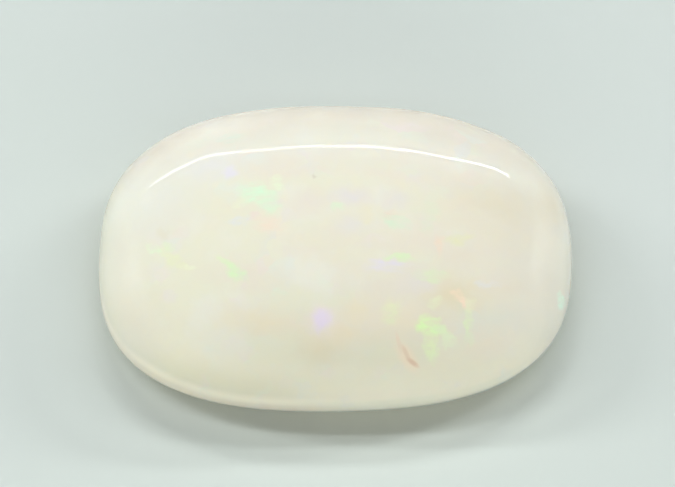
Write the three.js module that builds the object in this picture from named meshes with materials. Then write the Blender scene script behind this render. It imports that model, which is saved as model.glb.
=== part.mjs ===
// Loose opal: one polished stone with a domed top, a cushion outline and a flat back.
// Units are millimetres and +Z is up. The flat back rests on z = 0, with the origin
// under the middle of the stone, the long side along X and the front towards -Y.
import * as THREE from 'three';

// Size of the stone
const length = 14.0;
const width = 10.0;
const girdleHeight = 0.85;
const domeHeight = 3.6;

// Outline at the girdle, the widest line around the stone
const cushion = 0.087;
const skew = 0.004;
const taper = 0.005;

// Section through the stone
const domePower = 0.86;
const backScale = 0.88;

// Fineness of the mesh
const turns = 96;
const domeRings = 20;
const edgeRings = 4;

const opalColour = '#e6e2d0';
const opalRoughness = 0.12;

// The section from the middle of the flat back to the top, as share of the girdle and height.
// The edge under the girdle is a quarter of an ellipse. The dome is one too, made fuller
// above the girdle by raising its height to a power under one.
function sectionPoints() {
  const points = [new THREE.Vector2(0, 0)];
  for (let i = 0; i < edgeRings; i++) {
    const angle = (i / edgeRings) * Math.PI / 2;
    const share = backScale + (1 - backScale) * Math.sin(angle);
    points.push(new THREE.Vector2(share, girdleHeight * (1 - Math.cos(angle))));
  }
  for (let i = 0; i < domeRings; i++) {
    const angle = (i / domeRings) * Math.PI / 2;
    const rise = domeHeight * Math.sin(angle) ** domePower;
    points.push(new THREE.Vector2(Math.cos(angle), girdleHeight + rise));
  }
  points.push(new THREE.Vector2(0, girdleHeight + domeHeight));
  return points;
}

// How far the outline stands out from an ellipse at an angle: fuller corners four times
// around, a slight skew and one end a little larger than the other.
function fullness(angle) {
  const corners = cushion * Math.sin(2 * angle) ** 2;
  return corners + skew * Math.sin(2 * angle) + taper * Math.cos(3 * angle);
}

// Stretches the turned shape to the stone's length and width. The level lines are true
// ellipses at the top and take the cushion outline by degrees towards the girdle.
function shapeStone(geometry) {
  const position = geometry.attributes.position;
  for (let i = 0; i < position.count; i++) {
    const x = position.getX(i);
    const y = position.getY(i);
    const share = Math.hypot(x, y);
    const swell = 1 + share ** 2 * fullness(Math.atan2(y, x));
    position.setX(i, x * swell * length / 2);
    position.setY(i, y * swell * width / 2);
  }
}

// Moves the stone sideways so that the middle of its length and width is over the origin
function centreStone(geometry) {
  geometry.computeBoundingBox();
  const middle = geometry.boundingBox.getCenter(new THREE.Vector3());
  geometry.translate(-middle.x, -middle.y, 0);
}

function makeOpal() {
  const geometry = new THREE.LatheGeometry(sectionPoints(), turns);
  geometry.rotateX(Math.PI / 2);
  shapeStone(geometry);
  centreStone(geometry);
  geometry.computeVertexNormals();
  const material = new THREE.MeshStandardMaterial({
    color: opalColour,
    roughness: opalRoughness,
    metalness: 0,
  });
  const opal = new THREE.Mesh(geometry, material);
  opal.name = 'opal';
  return opal;
}

const looseOpal = new THREE.Group();
looseOpal.add(makeOpal());

export default looseOpal;
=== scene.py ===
# Loose opal: a polished, domed stone lying on a pale floor
from math import cos, radians, sin

import bpy
import numpy as np
from mathutils import Matrix, Vector


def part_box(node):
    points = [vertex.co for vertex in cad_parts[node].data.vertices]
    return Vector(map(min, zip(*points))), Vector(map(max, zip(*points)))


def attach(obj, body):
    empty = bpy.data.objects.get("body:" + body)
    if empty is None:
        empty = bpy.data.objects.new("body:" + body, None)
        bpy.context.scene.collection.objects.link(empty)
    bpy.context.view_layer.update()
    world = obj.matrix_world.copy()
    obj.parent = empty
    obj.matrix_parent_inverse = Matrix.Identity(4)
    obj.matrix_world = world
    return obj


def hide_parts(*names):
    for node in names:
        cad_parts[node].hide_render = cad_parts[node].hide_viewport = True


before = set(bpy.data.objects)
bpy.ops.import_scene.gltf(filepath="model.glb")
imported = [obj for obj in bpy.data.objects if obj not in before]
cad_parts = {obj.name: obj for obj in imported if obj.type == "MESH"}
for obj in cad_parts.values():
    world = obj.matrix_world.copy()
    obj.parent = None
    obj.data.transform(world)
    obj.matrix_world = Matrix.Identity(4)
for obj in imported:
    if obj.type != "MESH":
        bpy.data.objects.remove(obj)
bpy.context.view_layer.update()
millimetre = 0.001
print("frame loaded")


# Camera, set to the photograph's view

camera = {
    "photoWidth": 675,
    "photoHeight": 487,
    "scale": 33.80,                # pixels to a millimetre at the stone
    "elevation": 55.6,             # degrees above the floor
    "distance": 300.0,             # millimetres from the girdle's middle
    "girdlePixel": (335.4, 264.4),     # where that middle is seen
    "sensor": 36.0,                # millimetres
    "clip": (0.005, 20.0),         # metres, nearest and farthest in view
}


def viewAxes():
    # right, up and back of the camera as rows
    tilt = radians(camera["elevation"])
    return np.array([[1, 0, 0], [0, sin(tilt), cos(tilt)], [0, -cos(tilt), sin(tilt)]])


def cameraPlace():
    # steps back from the girdle's middle, then aside until it falls on its pixel
    right, up, back = viewAxes()
    column, row = camera["girdlePixel"]
    aside = (camera["photoWidth"] / 2 - column) / camera["scale"]
    above = (row - camera["photoHeight"] / 2) / camera["scale"]
    girdle = np.array([0, 0, girdleHeight() / millimetre])
    return (girdle + right * aside + up * above + back * camera["distance"]) * millimetre


def pixelsOf(points):
    # perspective view of the points, in pixels of the photograph's frame
    local = (points - cameraPlace()) @ viewAxes().T
    focal = camera["scale"] * camera["distance"]
    columns = camera["photoWidth"] / 2 - focal * local[:, 0] / local[:, 2]
    rows = camera["photoHeight"] / 2 + focal * local[:, 1] / local[:, 2]
    return np.stack([columns, rows], 1)


def makeCamera():
    lens = bpy.data.cameras.new("camera")
    lens.sensor_width = camera["sensor"]
    lens.lens = camera["sensor"] * camera["scale"] * camera["distance"] / camera["photoWidth"]
    lens.clip_start, lens.clip_end = camera["clip"]
    body = bpy.data.objects.new("camera", lens)
    body.location = cameraPlace()
    body.rotation_euler = (radians(90 - camera["elevation"]), 0, 0)
    bpy.context.scene.collection.objects.link(body)
    bpy.context.scene.camera = body


# The stone

stone = {
    "around": 360,                 # points in one ring
    "domeRings": 110,
    "edgeRings": 24,
    "backRings": 14,
    "girdleShare": 0.85 / 4.45,    # height of the girdle as share of the whole height
    "domePower": 0.86,             # under one makes the dome fuller above the girdle
    "backScale": 0.88,             # flat back against the girdle outline
    "cushion": 0.087,              # fuller corners
    "skew": 0.004,                 # two opposite quarters a little fuller
    "taper": 0.005,                # one end a little larger
    "wave": 0.006,                 # millimetres, unevenness left by hand polishing
    "ripples": (                   # radians to a millimetre along x, y and z, start, strength
        ((1.9, 0.7, 0.0), 0.4, 1.0),
        ((-1.1, 2.6, 1.9), 0.0, 1.0),
        ((3.7, 0.0, 2.3), 2.0, 0.6),
    ),
}


def girdleHeight():
    low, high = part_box("opal")
    return low.z + (high.z - low.z) * stone["girdleShare"]


def sectionRings():
    # share of the outline and height from the back's middle to the top: a flat stretch, a quarter
    # ellipse under the girdle, and a quarter ellipse with its height raised to a power above it
    flat = np.linspace(0, 1, stone["backRings"], endpoint=False)[1:]
    turn = np.linspace(0, np.pi / 2, stone["edgeRings"], endpoint=False)
    rise = np.linspace(0, np.pi / 2, stone["domeRings"], endpoint=False)
    girdle = stone["girdleShare"]
    share = np.concatenate([
        flat * stone["backScale"],
        stone["backScale"] + (1 - stone["backScale"]) * np.sin(turn),
        np.cos(rise)])
    height = np.concatenate([
        flat * 0,
        girdle * (1 - np.cos(turn)),
        girdle + (1 - girdle) * np.sin(rise) ** stone["domePower"]])
    return share, height


def stoneGrid():
    # every ring is an ellipse whose radius swells by share squared times the corner, skew and
    # taper waves; the whole is then fitted to the CAD box
    share, height = sectionRings()
    angle = np.linspace(0, 2 * np.pi, stone["around"], endpoint=False)
    waves = stone["cushion"] * np.sin(2 * angle) ** 2
    waves = waves + stone["skew"] * np.sin(2 * angle) + stone["taper"] * np.cos(3 * angle)
    swell = 1 + share[:, None] ** 2 * waves[None]
    x = share[:, None] * swell * np.cos(angle)[None]
    y = share[:, None] * swell * np.sin(angle)[None]
    z = np.broadcast_to(height[:, None], x.shape)
    rings = np.stack([x, y, z], -1).reshape(-1, 3)
    poles = np.array([[0, 0, 0], [0, 0, 1.0]])
    points = np.concatenate([rings, poles])
    low, high = (np.array(corner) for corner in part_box("opal"))
    first, last = points.min(0), points.max(0)
    return low + (points - first) / (last - first) * (high - low)


def handPolish(points):
    # a sum of long sine waves pushes the dome in and out about a hundredth of a millimetre, from
    # none at the girdle to all of it a millimetre higher
    ripple = sum(strength * np.sin(points @ np.array(turns) / millimetre + start)
                 for turns, start, strength in stone["ripples"])
    fade = np.clip((points[:, 2] - girdleHeight()) / millimetre, 0, 1)
    outward = points - np.array([0, 0, girdleHeight()])
    outward = outward / np.maximum(np.linalg.norm(outward, axis=1, keepdims=True), 1e-9)
    return points + outward * (stone["wave"] * millimetre * ripple * fade)[:, None]


def ringQuads(around, rings):
    # quads between neighbouring rings, whose points are numbered ring after ring
    here = np.arange(around)
    after = (here + 1) % around
    rows = np.arange(rings - 1)[:, None] * around
    quads = np.stack([rows + here, rows + after, rows + around + after, rows + around + here], -1)
    return quads.reshape(-1, 4)


def poleFan(pole, ring, around, up):
    # triangles from the pole to every two neighbours on the ring, facing up or down
    here = ring * around + np.arange(around)
    after = ring * around + (np.arange(around) + 1) % around
    pairs = [here, after] if up else [after, here]
    return np.stack([np.full(around, pole), *pairs], -1)


def stoneFaces():
    # quads between the rings, and a fan of triangles at each pole
    around, rings = stone["around"], len(sectionRings()[0])
    backFan = poleFan(rings * around, 0, around, up=False)
    topFan = poleFan(rings * around + 1, rings - 1, around, up=True)
    return ringQuads(around, rings).tolist() + backFan.tolist() + topFan.tolist()


def smoothPiece(name, points, faces):
    mesh = bpy.data.meshes.new(name)
    mesh.from_pydata(points.tolist(), [], faces)
    mesh.polygons.foreach_set("use_smooth", np.ones(len(mesh.polygons), bool))
    mesh.update()
    piece = bpy.data.objects.new(name, mesh)
    bpy.context.scene.collection.objects.link(piece)
    return piece


def makeStone():
    points = handPolish(stoneGrid())
    piece = smoothPiece("opalStone", points, stoneFaces())
    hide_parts("opal")
    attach(piece, "root")
    return piece, points


# Node helpers

def fromScreen(red, green, blue):
    # a screen colour of 0 to 255 as light
    value = np.array([red, green, blue]) / 255
    light = np.where(value <= 0.04045, value / 12.92, ((value + 0.055) / 1.055) ** 2.4)
    return (*light.tolist(), 1.0)


def addNode(tree, kind, values, **settings):
    # makes a node; a value that is a socket is linked, any other is set on the node's own socket
    made = tree.nodes.new(kind)
    for name, value in settings.items():
        setattr(made, name, value)
    for name, value in values.items():
        if isinstance(value, bpy.types.NodeSocket):
            tree.links.new(value, made.inputs[name])
        else:
            made.inputs[name].default_value = value
    return made


def calculate(tree, operation, first, second):
    return addNode(tree, "ShaderNodeMath", {0: first, 1: second}, operation=operation).outputs[0]


def ramp(tree, value, start, end):
    # smooth step from 0 at start to 1 at end
    values = {"Value": value, "From Min": start, "From Max": end}
    return addNode(tree, "ShaderNodeMapRange", values, interpolation_type="SMOOTHSTEP").outputs[0]


def mixColours(tree, share, first, second):
    # inputs 6 and 7 and output 2 of the Mix node are its colours
    return addNode(tree, "ShaderNodeMix", {0: share, 6: first, 7: second}, data_type="RGBA").outputs[2]


def noiseAt(tree, place, scale, detail):
    values = {"Vector": place, "Scale": scale, "Detail": detail}
    return addNode(tree, "ShaderNodeTexNoise", values).outputs[0]


# Floor, lights and surroundings

studio = {
    "floorFlat": 0.22,             # metres, flat part around the stone
    "floorEdge": 0.75,
    "wallHeight": 0.45,
    "floorAround": 96,             # points in one ring
    "flatRings": 5,
    "wallRings": 23,
    "floorColour": (200, 208, 205),
    "floorTint": (199, 208, 203),
    "tintNoise": (30.0, 3.0),      # scale and detail
    "tintStep": (0.3, 0.7),        # noise at which the tint starts and is full
    "glossNoise": (900.0, 2.0),
    "roughness": (0.72, 0.86),
    "specular": 0.2,
    "worldColour": (1.0, 1.0, 1.0),
    "worldStrength": 0.02,
    "lampDistance": 0.40,
    "lampWidth": 0.03,
}

lamps = {                          # ends along x in metres, degrees above the far horizon, watts
    "farLeftLamp": {"from": -0.90, "to": -0.35, "elevation": 61.0, "watts": 2.86},
    "leftLamp": {"from": -0.35, "to": -0.08, "elevation": 72.0, "watts": 0.56},
    "middleLamp": {"from": -0.08, "to": 0.08, "elevation": 52.0, "watts": 0.43},
    "rightLamp": {"from": 0.08, "to": 0.35, "elevation": 62.0, "watts": 0.53},
    "farRightLamp": {"from": 0.35, "to": 0.90, "elevation": 51.0, "watts": 2.56},
    "topLamp": {"from": -0.30, "to": 0.30, "elevation": 130.0, "watts": 0.19},
    "frontLamp": {"from": -0.30, "to": 0.30, "elevation": 162.0, "watts": 0.90},
}

archLight = {                      # low arch behind the stone, seen only as the long reflection
    "behind": 0.45,                # metres, as are the next three
    "left": -0.43,
    "right": 0.32,
    "top": 0.250,
    "fall": (0.80, 1.13),          # times the distance squared, to the left and to the right
    "sags": (                      # place along x, width and depth in metres
        (-0.168, 0.127, 0.053),
        (0.077, 0.064, 0.025),
        (-0.265, 0.028, 0.010),
    ),
    "pieces": 24,
    "width": (0.010, 0.019, 0.015),    # metres at the left end, in the middle, at the right end
    "radiance": (24.0, 12.5, 32.0),    # watts for a square metre, at the same three places
}


def makeFloor():
    # a surface of revolution: flat in the middle, then rising along a quarter ellipse
    around, rings = studio["floorAround"], studio["flatRings"] + studio["wallRings"]
    angle = np.linspace(0, 2 * np.pi, around, endpoint=False)
    climb = np.linspace(0, np.pi / 2, studio["wallRings"] + 1)[1:]
    flat, edge = studio["floorFlat"], studio["floorEdge"]
    flatRadius = np.linspace(0, flat, studio["flatRings"] + 1)[1:]
    radius = np.concatenate([flatRadius, flat + (edge - flat) * np.sin(climb)])
    height = np.concatenate([flatRadius * 0, studio["wallHeight"] * (1 - np.cos(climb))])
    x = radius[:, None] * np.cos(angle)[None]
    y = radius[:, None] * np.sin(angle)[None]
    z = np.broadcast_to(height[:, None], x.shape)
    points = np.concatenate([np.stack([x, y, z], -1).reshape(-1, 3), [[0, 0, 0]]])
    quads = ringQuads(around, rings)[:, [0, 3, 2, 1]]      # turned over to face up
    fan = poleFan(rings * around, 0, around, up=True)
    floor = smoothPiece("floor", points, quads.tolist() + fan.tolist())
    floor.data.materials.append(floorFinish())


def floorFinish():
    # two close greys mixed by slow noise, with a fine grain in the gloss
    material = bpy.data.materials.new("paleFloor")
    material.use_nodes = True
    tree = material.node_tree
    shader = tree.nodes["Principled BSDF"]
    place = addNode(tree, "ShaderNodeTexCoord", {}).outputs["Object"]
    slow = ramp(tree, noiseAt(tree, place, *studio["tintNoise"]), *studio["tintStep"])
    colours = [fromScreen(*studio[name]) for name in ("floorColour", "floorTint")]
    tree.links.new(mixColours(tree, slow, *colours), shader.inputs["Base Color"])
    smooth, dull = studio["roughness"]
    values = {"Value": noiseAt(tree, place, *studio["glossNoise"]), "To Min": smooth, "To Max": dull}
    gloss = addNode(tree, "ShaderNodeMapRange", values).outputs[0]
    tree.links.new(gloss, shader.inputs["Roughness"])
    shader.inputs["Specular IOR Level"].default_value = studio["specular"]
    return material


def areaLight(name, length, width, watts):
    lamp = bpy.data.lights.new(name, "AREA")
    lamp.shape = "RECTANGLE"
    lamp.size = length
    lamp.size_y = width
    lamp.energy = watts
    body = bpy.data.objects.new(name, lamp)
    body.visible_camera = False
    bpy.context.scene.collection.objects.link(body)
    return body


def makeLamp(name, values):
    # a bar along x over the stone, turned to face it
    body = areaLight(name, values["to"] - values["from"], studio["lampWidth"], values["watts"])
    lift, distance = radians(values["elevation"]), studio["lampDistance"]
    middle = (values["from"] + values["to"]) / 2
    body.location = (middle, distance * cos(lift), distance * sin(lift))
    body.rotation_euler = (lift - radians(90), 0, 0)
    body.visible_glossy = False


def makeArch():
    # straight lamps end to end on a parabola with bell-shaped sags, each turned to face the stone
    share = np.linspace(0, 1, archLight["pieces"] + 1)
    along = archLight["left"] + (archLight["right"] - archLight["left"]) * share
    height = archLight["top"] - np.where(along < 0, *archLight["fall"]) * along ** 2
    for place, width, depth in archLight["sags"]:
        height = height - depth * np.exp(-((along - place) / width) ** 2)
    ends = [Vector((x, archLight["behind"], z)) for x, z in zip(along, height)]
    for number, (start, stop) in enumerate(zip(ends, ends[1:])):
        part = (number + 0.5) / archLight["pieces"]
        width = np.interp(part, (0, 0.5, 1), archLight["width"])
        length = (stop - start).length
        watts = np.interp(part, (0, 0.5, 1), archLight["radiance"]) * length * width
        body = areaLight(f"archLight{number + 1}", length, width, watts)
        side = (stop - start).normalized()
        away = (start + stop) / 2
        away = (away - side * away.dot(side)).normalized()
        body.location = (start + stop) / 2
        body.rotation_euler = Matrix((side, away.cross(side), away)).transposed().to_euler()
        body.visible_diffuse = False
        body.visible_transmission = False


def makeStudio():
    makeFloor()
    for name, values in lamps.items():
        makeLamp(name, values)
    makeArch()
    world = bpy.data.worlds.new("studio")
    world.use_nodes = True
    sky = world.node_tree.nodes["Background"]
    sky.inputs["Color"].default_value = (*studio["worldColour"], 1.0)
    sky.inputs["Strength"].default_value = studio["worldStrength"]
    bpy.context.scene.world = world
    bpy.context.scene.view_settings.view_transform = "Standard"


# The opal's finish

finish = {                         # screen colours, before the light falls on them
    "cream": (224, 223, 206),      # body of the stone
    "warm": (224, 219, 206),       # beige layers in it
    "milk": (226, 225, 214),       # pale clouds
    "farHaze": (224, 224, 217),
    "paintedFrontGlow": (232, 225, 203),   # painted light: brighter towards the front, where light comes through
    # painted shade: a darker rim at the far side
    "paintedFarRimShade": (211, 204, 192),
    # painted light: a warm tint at the far edge, where light shines through the thin stone
    "paintedFarEdgeTint": (228, 204, 180),
    # painted light: a bright warm rim low all round, where light comes through the thin edge
    "paintedRimGlow": (250, 232, 208),
    # painted light: a brighter rim low at the front, where light comes through
    "paintedFrontRimGlow": (254, 238, 211),
    # painted light: a golden rim low at the left, warm where light comes through the thin edge
    "paintedLeftRimGlow": (230, 215, 190),
    "paintedShadeBand": (214, 210, 186),      # painted shade: darker olive band above the girdle
    # painted highlight: a pale line along the girdle
    "paintedGirdleHighlight": (244, 233, 206),
    "strength": {"farHaze": 0.5, "paintedFrontGlow": 1.0, "paintedFarRimShade": 1.0, "paintedFarEdgeTint": 0.5, "paintedRimGlow": 0.7,
                 "paintedFrontRimGlow": 1.0, "paintedLeftRimGlow": 0.8, "paintedShadeBand": 0.75, "paintedGirdleHighlight": 0.3},
    "cloudEdge": (0.2, 1.0),       # how ragged and how soft the edges of the clouds are
    "flashEdge": (0.45, 0.6),
    "spotEdge": (0.0, 0.8),
    "crackEdge": (0.2, 0.7),
    "patchDepth": 1.0,             # millimetres that a patch reaches in, besides its half size
    "depthWeight": 2.0,            # pixels that a millimetre farther back counts for in onStone
    "roughness": (0.035, 0.065),
    "ior": 1.45,
    "softness": 4.0,               # millimetres that light travels inside
    "reach": (1.0, 0.9, 0.75),     # red, green and blue share of it
}

steps = {                          # where a smooth step starts and is full, in millimetres
    "front": (0.8, -3.4),          # along y, towards the front
    "left": (1.0, -2.5),           # along x, towards the left
    "farHaze": (0.0, 2.6),         # along y, as are the next two
    "paintedFarRimShade": (2.2, 3.9),
    "paintedFarEdgeTint": (3.9, 4.7),
    "farCurve": 0.03,              # added to y for the distance along x squared
    "paintedFrontGlow": (3.4, 1.3),        # in height, as are all the others but leftRise
    "paintedRimGlow": (1.9, 0.7),
    "paintedFrontRimGlow": (1.5, 0.65),
    "paintedLeftRimGlow": (1.0, 0.72),
    "paintedShadeBand": (0.98, 1.32, 2.4),    # none, full and none again
    "paintedGirdleHighlight": (0.80, 0.98, 1.16),
    "leftRise": (-2.5, -6.0),      # along x, where the three above bend up
    "leftRiseHeight": 0.15,
}

grain = {                          # noises as scale and detail
    "drift": (2.4, 3.0),
    "driftAmount": 0.5,            # millimetres that a marking's outline moves
    "ragged": (3.4, 3.0),
    "polish": (0.8, 3.0),
    "layers": (1.1, 4.0),
    "layersStep": (0.42, 0.74),    # noise at which the layers start and are full
    "layersTurn": 8,               # degrees
    "layersStretch": (0.22, 0.9, 0.9),
    "layersRight": (-2.0, 4.5),    # millimetres along x over which they grow
    "layersGain": 0.16,
    "milk": (0.5, 3.0),
    "milkStep": (0.5, 0.72),
    "streaks": (1.0, 3.0),
    "streaksStep": (0.35, 0.62),
    "streaksTurn": -35,
    "streaksStretch": (2.0, 5.5, 4.0),
    "streaksLeast": 0.35,
    "sparks": (0.9, 4.0),
    "sparksStep": (0.48, 0.75),
    "sparksCells": 1.5,
    "sparksColour": (0.16, 0.80),  # saturation and value
    "sparksStrength": 0.25,
}

clouds = {                         # soft layers, and three of painted shade: pixel of the photograph, half size in millimetres
    "upperLeftMilk": {"at": (160, 205), "half": (2.6, 1.9), "turn": 40, "colour": (223, 223, 214)},
    "bluishMilk": {"at": (212, 167), "half": (1.5, 0.7), "turn": 14, "colour": (222, 222, 219)},
    "upperRightMilk": {"at": (519, 197), "half": (2.0, 0.9), "turn": -12, "colour": (220, 217, 206)},
    "beigeLayer": {"at": (500, 208), "half": (3.0, 1.10), "turn": -18, "colour": (220, 214, 196)},
    "paleLayer": {"at": (480, 228), "half": (2.8, 0.75), "turn": -22, "colour": (223, 218, 202)},
    "farRightBeige": {"at": (553, 207), "half": (1.1, 1.5), "turn": 10, "colour": (218, 209, 191)},
    "midBrown": {"at": (459, 256), "half": (1.4, 1.1), "turn": 0, "colour": (223, 217, 203)},
    "milkyWedge": {"at": (545, 268), "half": (1.7, 0.75), "turn": -12, "colour": (226, 223, 212)},
    "beigeLine": {"at": (522, 288), "half": (1.5, 0.45), "turn": 0, "colour": (224, 217, 201)},
    "greyLayer": {"at": (502, 318), "half": (2.1, 0.8), "turn": 8, "colour": (221, 220, 208)},
    "brownPatch": {"at": (492, 346), "half": (1.5, 0.9), "turn": 6, "colour": (228, 219, 203)},
    "amberBand": {"at": (262, 321), "half": (2.5, 0.8), "turn": -8, "colour": (226, 219, 198)},
    "amberSpot": {"at": (356, 308), "half": (0.8, 0.8), "turn": 0, "colour": (227, 220, 198)},
    "oliveSpot": {"at": (321, 351), "half": (1.1, 1.0), "turn": -20, "colour": (224, 217, 196)},
    "rightAmber": {"at": (400, 322), "half": (2.2, 1.1), "turn": -14, "colour": (229, 222, 203)},
    "pinkCloud": {"at": (308, 202), "half": (1.1, 0.7), "turn": 10, "colour": (223, 218, 208)},
    "upperLavender": {"at": (352, 196), "half": (1.0, 0.55), "turn": -15, "colour": (221, 218, 215)},
    "lowerLavender": {"at": (352, 224), "half": (1.1, 0.50), "turn": 0, "colour": (222, 220, 214)},
    "rightLavender": {"at": (396, 200), "half": (0.8, 0.55), "turn": 0, "colour": (222, 219, 213)},
    "lowAmber": {"at": (342, 332), "half": (1.7, 0.9), "turn": 0, "colour": (229, 220, 199)},
    # painted shade: the right end, the left end and the lower left darker
    "paintedRightShade": {"at": (548, 290), "half": (2.6, 3.8), "turn": 8, "colour": (219, 214, 202)},
    "paintedLeftShade": {"at": (120, 262), "half": (1.6, 2.6), "turn": 0, "colour": (220, 217, 203)},
    "paintedLowLeftShade": {"at": (134, 326), "half": (2.0, 2.2), "turn": -30, "colour": (218, 213, 198)},
    "goldenMiddle": {"at": (454, 298), "half": (1.7, 1.0), "turn": 0, "colour": (222, 214, 190)},
    "topGold": {"at": (215, 137), "half": (2.8, 1.0), "turn": 18, "colour": (226, 222, 211)},
    "lowLavender": {"at": (413, 283), "half": (1.0, 0.60), "turn": 0, "colour": (223, 219, 212)},
}

flashes = {                        # play of colour: ragged small patches, placed in the same way
    "mintBody": {"at": (257, 194), "half": (1.05, 0.59), "turn": -18, "colour": (213, 237, 212)},
    "mintTail": {"at": (272, 204), "half": (0.65, 0.48), "turn": -48, "colour": (216, 230, 209)},
    "mintHook": {"at": (278, 184), "half": (0.49, 0.34), "turn": -60, "colour": (225, 233, 210)},
    "mintEdge": {"at": (240, 202), "half": (0.49, 0.31), "turn": 25, "colour": (225, 228, 208)},
    "skyStreak": {"at": (241, 220), "half": (0.65, 0.20), "turn": 3, "colour": (220, 222, 220)},
    "peach": {"at": (271, 225), "half": (0.86, 0.50), "turn": -22, "colour": (230, 219, 204)},
    "smallPeach": {"at": (253, 217), "half": (0.34, 0.24), "turn": 0, "colour": (227, 216, 207)},
    "upperDot": {"at": (337, 206), "half": (0.32, 0.28), "turn": 20, "colour": (217, 229, 206)},
    "olivePatch": {"at": (366, 214), "half": (0.46, 0.70), "turn": 0, "colour": (225, 222, 203)},
    "smallOrange": {"at": (391, 215), "half": (0.38, 0.28), "turn": 0, "colour": (227, 216, 202)},
    "tealHook": {"at": (397, 223), "half": (0.72, 0.34), "turn": -18, "colour": (214, 227, 208)},
    "paleHook": {"at": (430, 216), "half": (0.49, 0.98), "turn": -10, "colour": (220, 223, 205)},
    "orangeDot": {"at": (440, 244), "half": (0.30, 0.48), "turn": 0, "colour": (231, 216, 199)},
    "limeStreak": {"at": (460, 238), "half": (0.86, 0.25), "turn": 9, "colour": (223, 222, 194)},
    "greenStroke": {"at": (397, 258), "half": (0.76, 0.24), "turn": -5, "colour": (213, 234, 194)},
    "lilacStroke": {"at": (387, 266), "half": (1.17, 0.31), "turn": 0, "colour": (223, 219, 226)},
    "longLime": {"at": (431, 276), "half": (0.94, 0.28), "turn": -5, "colour": (219, 228, 199)},
    "leftTip": {"at": (154, 250), "half": (0.61, 0.24), "turn": -32, "colour": (221, 230, 206)},
    "leftUpper": {"at": (168, 247), "half": (0.49, 0.25), "turn": -8, "colour": (221, 228, 202)},
    "leftStreak": {"at": (177, 260), "half": (0.99, 0.29), "turn": -30, "colour": (224, 227, 198)},
    "leftTail": {"at": (190, 268), "half": (0.38, 0.18), "turn": -10, "colour": (228, 231, 209)},
    "fineGreen": {"at": (223, 263), "half": (0.65, 0.21), "turn": -42, "colour": (220, 229, 200)},
    "brightGreen": {"at": (236, 272), "half": (0.82, 0.31), "turn": -44, "colour": (214, 233, 196)},
    "smallTeal": {"at": (279, 291), "half": (0.42, 0.20), "turn": 0, "colour": (219, 227, 210)},
    "orangeStroke": {"at": (461, 298), "half": (0.60, 0.27), "turn": -38, "colour": (244, 222, 203)},
    "orangeLime": {"at": (469, 304), "half": (0.30, 0.39), "turn": -20, "colour": (230, 229, 202)},
    "greenLine": {"at": (468, 328), "half": (0.24, 0.95), "turn": 2, "colour": (222, 232, 201)},
    "innerGreen": {"at": (391, 311), "half": (0.51, 0.70), "turn": -15, "colour": (226, 229, 200)},
    "mainCore": {"at": (430, 327), "half": (0.72, 0.52), "turn": 0, "colour": (219, 251, 186)},
    "mainRight": {"at": (442, 332), "half": (0.72, 0.34), "turn": -40, "colour": (224, 235, 202)},
    "mainTail": {"at": (429, 346), "half": (0.38, 0.90), "turn": 10, "colour": (227, 236, 200)},
    "mainSpots": {"at": (449, 341), "half": (0.42, 0.36), "turn": 0, "colour": (226, 233, 207)},
    "upperSpots": {"at": (434, 302), "half": (0.50, 0.34), "turn": 10, "colour": (227, 229, 202)},
    "edgeTeal": {"at": (562, 301), "half": (0.26, 0.50), "turn": 12, "colour": (214, 238, 216)},
    "blueLine": {"at": (487, 285), "half": (0.68, 0.20), "turn": 0, "colour": (222, 221, 217)},
    "topTeal": {"at": (228, 138), "half": (0.80, 0.24), "turn": 8, "colour": (215, 223, 212)},
    "topLime": {"at": (199, 143), "half": (1.05, 0.35), "turn": 22, "colour": (220, 221, 209)},
}

spots = {                          # smooth round ones
    "purpleHalo": {"at": (322, 321), "half": (0.64, 0.66), "turn": 0, "colour": (229, 222, 216)},
    "purpleSpot": {"at": (322, 321), "half": (0.46, 0.48), "turn": 0, "colour": (227, 217, 230)},
    "violetSpot": {"at": (232, 172), "half": (0.34, 0.28), "turn": 0, "colour": (223, 221, 226)},
    "brownSpot": {"at": (163, 236), "half": (0.30, 0.30), "turn": 0, "colour": (221, 218, 204)},
    "darkFleck": {"at": (314.5, 174.5), "half": (0.09, 0.10), "turn": 0, "colour": (212, 209, 194)},
    "paleBlob": {"at": (149, 200), "half": (0.34, 0.38), "turn": 0, "colour": (226, 225, 215)},
}

crack = {                          # a short curved seam of rusty colour under the surface
    "glow": {"at": (407, 358), "half": (0.85, 0.36), "turn": -58, "colour": (236, 222, 203)},
    "top": {"at": (400, 341), "half": (0.50, 0.10), "turn": -76, "colour": (229, 216, 198)},
    "middle": {"at": (404, 353), "half": (0.42, 0.11), "turn": -64, "colour": (227, 209, 189)},
    "end": {"at": (411, 363), "half": (0.36, 0.12), "turn": -38, "colour": (221, 197, 176)},
}


def onStone(points, pixels, pixel):
    # point of the surface seen at the pixel: the least sum of pixels off and weighted depth, which
    # leaves out the far side of the stone
    apart = np.linalg.norm(pixels - np.array(pixel), axis=1)
    depth = (cameraPlace() - points) @ viewAxes()[2] / millimetre
    return points[np.argmin(apart + depth * finish["depthWeight"])]


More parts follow.
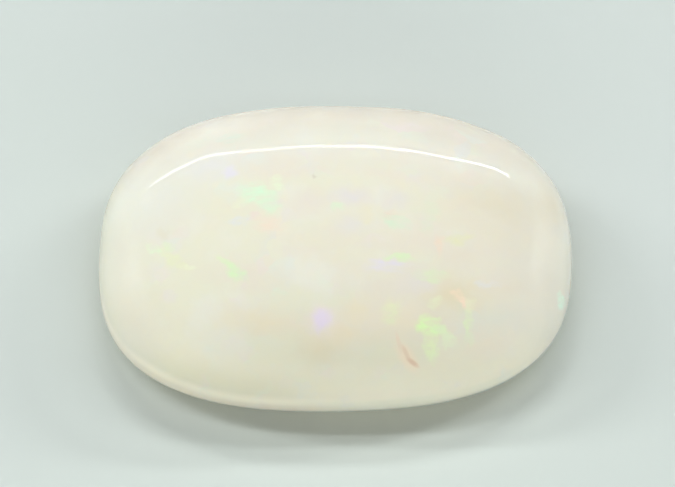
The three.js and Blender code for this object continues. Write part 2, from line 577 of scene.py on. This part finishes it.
def addPatch(tree, place, below, patch, middle, ragged, soft, streaks):
    # an ellipsoid turned to the view: smooth step of one less the distance from its middle, less
    # noise for ragged edges, times the streaks if there are any
    facing = Matrix.Rotation(radians(90 - camera["elevation"]), 3, "X")
    turn = facing @ Matrix.Rotation(radians(patch["turn"]), 3, "Z")
    values = {"Vector": place, "Location": middle / millimetre, "Rotation": turn.to_euler(),
              "Scale": (*patch["half"], finish["patchDepth"] + max(patch["half"]))}
    local = addNode(tree, "ShaderNodeMapping", values, vector_type="TEXTURE").outputs[0]
    near = addNode(tree, "ShaderNodeTexGradient", {0: local}, gradient_type="SPHERICAL").outputs[1]
    if ragged > 0:
        noise = calculate(tree, "MULTIPLY", noiseAt(tree, local, *grain["ragged"]), ragged)
        near = calculate(tree, "SUBTRACT", near, noise)
    share = ramp(tree, near, 0.0, soft)
    if streaks:
        share = calculate(tree, "MULTIPLY", share, streaks)
    return mixColours(tree, share, below, fromScreen(*patch["colour"]))


def fineStreaks(tree, place):
    # stretched noise slanting across the stone, in a straight step from the least to one
    values = {"Vector": place, "Rotation": (0, 0, radians(grain["streaksTurn"])),
              "Scale": grain["streaksStretch"]}
    slanting = addNode(tree, "ShaderNodeMapping", values).outputs[0]
    start, end = grain["streaksStep"]
    values = {"Value": noiseAt(tree, slanting, *grain["streaks"]), "From Min": start, "From Max": end,
              "To Min": grain["streaksLeast"], "To Max": 1.0}
    return addNode(tree, "ShaderNodeMapRange", values).outputs[0]


def drift(tree, place):
    # the place moved about by noise, so that no marking keeps a plain outline
    scale, detail = grain["drift"]
    noise = addNode(tree, "ShaderNodeTexNoise", {"Vector": place, "Scale": scale, "Detail": detail})
    values = {0: noise.outputs["Color"], 1: (0.5, 0.5, 0.5)}
    centred = addNode(tree, "ShaderNodeVectorMath", values, operation="SUBTRACT").outputs[0]
    values = {0: centred, 1: (grain["driftAmount"],) * 3, 2: place}
    return addNode(tree, "ShaderNodeVectorMath", values, operation="MULTIPLY_ADD").outputs[0]


def hump(tree, value, start, peak, end):
    # 0 at start, 1 at the peak and 0 again at the end
    return calculate(tree, "MULTIPLY", ramp(tree, value, start, peak), ramp(tree, value, end, peak))


def bodyColour(tree, place):
    # cream, with stretched noise for the layers, more of them to the right, and pale clouds
    along = addNode(tree, "ShaderNodeSeparateXYZ", {0: place}).outputs[0]
    values = {"Vector": place, "Rotation": (0, 0, radians(grain["layersTurn"])),
              "Scale": grain["layersStretch"]}
    stretched = addNode(tree, "ShaderNodeMapping", values).outputs[0]
    right = calculate(tree, "MULTIPLY", ramp(tree, along, *grain["layersRight"]), grain["layersGain"])
    noise = calculate(tree, "ADD", noiseAt(tree, stretched, *grain["layers"]), right)
    layers = ramp(tree, noise, *grain["layersStep"])
    colour = mixColours(tree, layers, fromScreen(*finish["cream"]), fromScreen(*finish["warm"]))
    haze = ramp(tree, noiseAt(tree, place, *grain["milk"]), *grain["milkStep"])
    return mixColours(tree, haze, colour, fromScreen(*finish["milk"]))


def edgeTonesAndPaintedLight(tree, place, below):
    # smooth steps by height and width: haze at the far side; painted shade in a darker far rim;
    # painted light in a warm far edge, a bright low front and warm rims, a darker olive band of
    # painted shade and a golden rim of painted light at the left, and a painted highlight in a pale
    # line over the girdle
    x, y, z = addNode(tree, "ShaderNodeSeparateXYZ", {0: place}).outputs
    front = ramp(tree, y, *steps["front"])
    left = ramp(tree, x, *steps["left"])
    curve = calculate(tree, "MULTIPLY", calculate(tree, "MULTIPLY", x, x), steps["farCurve"])
    far = calculate(tree, "ADD", y, curve)
    rise = calculate(tree, "MULTIPLY", ramp(tree, x, *steps["leftRise"]), steps["leftRiseHeight"])
    line = calculate(tree, "SUBTRACT", z, rise)
    # haze at the far side, and painted light and shade along the rims and the girdle
    layers = {
        "farHaze": ramp(tree, far, *steps["farHaze"]),
        "paintedFrontGlow": calculate(tree, "MULTIPLY", ramp(tree, z, *steps["paintedFrontGlow"]), front),
        "paintedFarRimShade": ramp(tree, far, *steps["paintedFarRimShade"]),
        "paintedFarEdgeTint": ramp(tree, far, *steps["paintedFarEdgeTint"]),
        "paintedRimGlow": ramp(tree, z, *steps["paintedRimGlow"]),
        "paintedFrontRimGlow": calculate(tree, "MULTIPLY", ramp(tree, z, *steps["paintedFrontRimGlow"]), front),
        "paintedShadeBand": calculate(tree, "MULTIPLY", hump(tree, line, *steps["paintedShadeBand"]), left),
        "paintedLeftRimGlow": calculate(tree, "MULTIPLY", ramp(tree, line, *steps["paintedLeftRimGlow"]), left),
        "paintedGirdleHighlight": hump(tree, line, *steps["paintedGirdleHighlight"]),
    }
    colour = below
    for name, share in layers.items():
        amount = calculate(tree, "MULTIPLY", share, finish["strength"][name])
        colour = mixColours(tree, amount, colour, fromScreen(*finish[name]))
    return colour


def faintSparks(tree, place, below):
    # cells of many pale hues, very faint, where a slow noise is high
    values = {"Vector": place, "Scale": grain["sparksCells"]}
    cells = addNode(tree, "ShaderNodeTexVoronoi", values).outputs
    hue = addNode(tree, "ShaderNodeSeparateColor", {0: cells["Color"]}).outputs[0]
    saturation, brightness = grain["sparksColour"]
    values = {0: hue, 1: saturation, 2: brightness}
    pastel = addNode(tree, "ShaderNodeCombineColor", values, mode="HSV").outputs[0]
    sparse = ramp(tree, noiseAt(tree, place, *grain["sparks"]), *grain["sparksStep"])
    share = calculate(tree, "MULTIPLY", sparse, grain["sparksStrength"])
    return mixColours(tree, share, below, pastel)


def opalFinish(points):
    # the body's colour with its edge tones, painted light and shade, and sparks, then every patch in
    # turn, under an even polish
    material = bpy.data.materials.new("polishedOpal")
    material.use_nodes = True
    tree = material.node_tree
    shader = tree.nodes["Principled BSDF"]
    source = addNode(tree, "ShaderNodeTexCoord", {}).outputs["Object"]
    scale = 1 / millimetre
    place = addNode(tree, "ShaderNodeMapping", {"Vector": source, "Scale": (scale,) * 3}).outputs[0]
    moved = drift(tree, place)
    colour = faintSparks(tree, moved, edgeTonesAndPaintedLight(tree, place, bodyColour(tree, place)))
    pixels = pixelsOf(points)
    streaks = fineStreaks(tree, place)
    groups = ((clouds, moved, "cloudEdge", None), (flashes, moved, "flashEdge", streaks),
              (spots, moved, "spotEdge", None), (crack, place, "crackEdge", None))
    for group, where, edge, texture in groups:
        for patch in group.values():
            middle = onStone(points, pixels, patch["at"])
            colour = addPatch(tree, where, colour, patch, middle, *finish[edge], texture)
    tree.links.new(colour, shader.inputs["Base Color"])
    smooth, dull = finish["roughness"]
    values = {"Value": noiseAt(tree, place, *grain["polish"]), "To Min": smooth, "To Max": dull}
    polish = addNode(tree, "ShaderNodeMapRange", values).outputs[0]
    tree.links.new(polish, shader.inputs["Roughness"])
    shader.inputs["IOR"].default_value = finish["ior"]
    shader.inputs["Subsurface Weight"].default_value = 1.0
    shader.inputs["Subsurface Scale"].default_value = finish["softness"] * millimetre
    shader.inputs["Subsurface Radius"].default_value = finish["reach"]
    return material


makeCamera()
opal, surface = makeStone()
print("stone made")
opal.data.materials.append(opalFinish(surface))
print("finish made")
makeStudio()
print("studio made")
